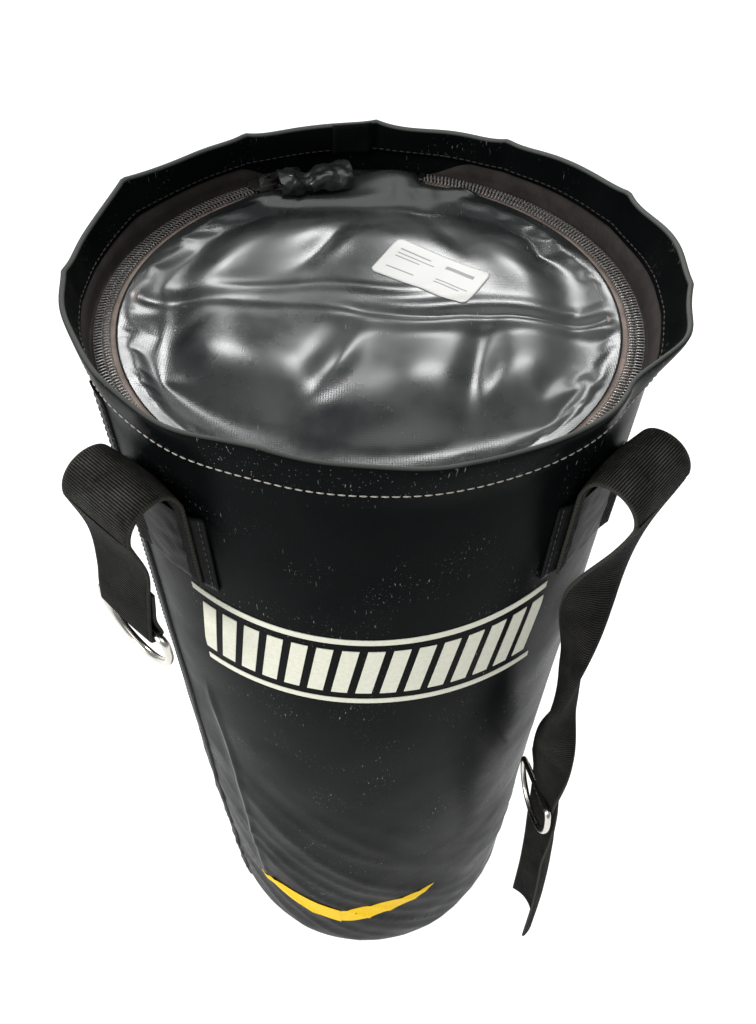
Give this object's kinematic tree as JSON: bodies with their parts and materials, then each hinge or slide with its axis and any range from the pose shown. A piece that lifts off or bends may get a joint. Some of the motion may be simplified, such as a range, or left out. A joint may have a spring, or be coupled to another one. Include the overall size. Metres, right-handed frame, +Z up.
{
  "type": "punch bag",
  "caption": "Round hanging punch bag with a zipped soft lid sunk in its rim, four webbing straps and D-rings, and flat coloured bands.",
  "frame": {"origin": "centre of the flat base", "axes": "+Z up along the bag's axis, -Y towards the printed front, +X to the right seen from the front"},
  "size_m": [0.3146, 0.334, 0.76],
  "materials": {
    "vinyl": "black glossy PVC-coated vinyl sheet, light pebble and scuffs",
    "vinyl_base": "heavier black coated sheet, matt",
    "webbing": "black ribbed nylon webbing, dusty on the bends",
    "ring_steel": "nickel-plated steel wire, lightly worn",
    "zip_tape_wall": "brown-grey woven zip tape",
    "zip_tape_lid": "faded dusty beige woven zip tape",
    "zip_coil": "dark grey nylon coil",
    "zip_metal": "black-nickel slider and puller",
    "zip_stop": "moulded black stop",
    "label_paper": "blank white adhesive label",
    "foam": "grey lining foam",
    "fibre": "shredded textile fibre"
  },
  "bodies": {
    "root": {"shell_wall": "vinyl", "rim_hem": "vinyl", "rim_lap_patch": "vinyl", "side_seam_lap": "vinyl", "lid_rear_panel": "vinyl", "lid_hinge_gusset": "vinyl", "zip_end_tab": "vinyl", "base_panel": "vinyl_base", "foam_liner": "foam", "fibre_fill": "fibre", "zip_tape_outer": "zip_tape_wall", "zip_tape_inner_rear": "zip_tape_lid", "zip_coil_inner_rear": "zip_coil", "zip_coil_outer": "zip_coil", "zip_start_stop": "zip_stop", "zip_end_stop": "zip_stop", "blank_label": "label_paper", "strap_patch_front_left": "vinyl", "strap_root_front_left": "webbing", "strap_bend_front_left": "webbing", "strap_patch_front_right": "vinyl", "strap_root_front_right": "webbing", "strap_bend_front_right": "webbing", "strap_patch_rear_right": "vinyl", "strap_root_rear_right": "webbing", "strap_bend_rear_right": "webbing", "strap_patch_rear_left": "vinyl", "strap_root_rear_left": "webbing", "strap_bend_rear_left": "webbing"},
    "lid_flap": {"lid_front_panel": "vinyl", "zip_tape_inner_front": "zip_tape_lid", "zip_coil_inner_front": "zip_coil"},
    "slider": {"zip_slider": "zip_metal"},
    "puller": {"zip_puller": "zip_metal"},
    "strap_front_left": {"strap_web_front_left": "webbing"},
    "ring_front_left": {"d_ring_front_left": "ring_steel"},
    "strap_front_right": {"strap_web_front_right": "webbing", "strap_tail_front_right": "webbing"},
    "ring_front_right": {"d_ring_front_right": "ring_steel"},
    "strap_rear_right": {"strap_web_rear_right": "webbing"},
    "ring_rear_right": {"d_ring_rear_right": "ring_steel"},
    "strap_rear_left": {"strap_web_rear_left": "webbing"},
    "ring_rear_left": {"d_ring_rear_left": "ring_steel"}
  },
  "joints": [
    {"name": "lid_fold", "type": "hinge", "parent": "root", "child": "lid_flap", "pos_m": [0, -0.00285, 0.7295], "axis": [-0.9971, 0.0767, 0], "range_deg": [0, 165]},
    {"name": "zip_travel", "type": "hinge", "parent": "root", "child": "slider", "pos_m": [0, 0, 0.7295], "axis": [0, 0, 1], "range_deg": [0, 311]},
    {"name": "puller_flip", "type": "hinge", "parent": "slider", "child": "puller", "pos_m": [-0.06933, 0.12507, 0.7332], "axis": [0.4848, -0.8746, 0], "range_deg": [0, 175]},
    {"name": "strap_lift_front_left", "type": "hinge", "parent": "root", "child": "strap_front_left", "pos_m": [-0.11328, -0.12581, 0.708], "axis": [-0.7431, 0.6691, 0], "range_deg": [0, 160], "deforming": ["strap_bend_front_left"]},
    {"name": "ring_swing_front_left", "type": "hinge", "parent": "strap_front_left", "child": "ring_front_left", "pos_m": [-0.12399, -0.1377, 0.632], "axis": [-0.7431, 0.6691, 0], "range_deg": [-35, 120]},
    {"name": "strap_lift_front_right", "type": "hinge", "parent": "root", "child": "strap_front_right", "pos_m": [0.12581, -0.11328, 0.708], "axis": [-0.6691, -0.7431, 0], "range_deg": [0, 160], "deforming": ["strap_bend_front_right"]},
    {"name": "ring_swing_front_right", "type": "hinge", "parent": "strap_front_right", "child": "ring_front_right", "pos_m": [0.12574, -0.13296, 0.398], "axis": [-0.1551, 0.9268, -0.342], "range_deg": [-6, 70]},
    {"name": "strap_lift_rear_right", "type": "hinge", "parent": "root", "child": "strap_rear_right", "pos_m": [0.11328, 0.12581, 0.708], "axis": [0.7431, -0.6691, 0], "range_deg": [0, 160], "deforming": ["strap_bend_rear_right"]},
    {"name": "ring_swing_rear_right", "type": "hinge", "parent": "strap_rear_right", "child": "ring_rear_right", "pos_m": [0.12399, 0.1377, 0.632], "axis": [0.7431, -0.6691, 0], "range_deg": [-35, 120]},
    {"name": "strap_lift_rear_left", "type": "hinge", "parent": "root", "child": "strap_rear_left", "pos_m": [-0.12581, 0.11328, 0.708], "axis": [0.6691, 0.7431, 0], "range_deg": [0, 160], "deforming": ["strap_bend_rear_left"]},
    {"name": "ring_swing_rear_left", "type": "hinge", "parent": "strap_rear_left", "child": "ring_rear_left", "pos_m": [-0.1377, 0.12399, 0.632], "axis": [0.6691, 0.7431, 0], "range_deg": [-35, 120]}
  ]
}
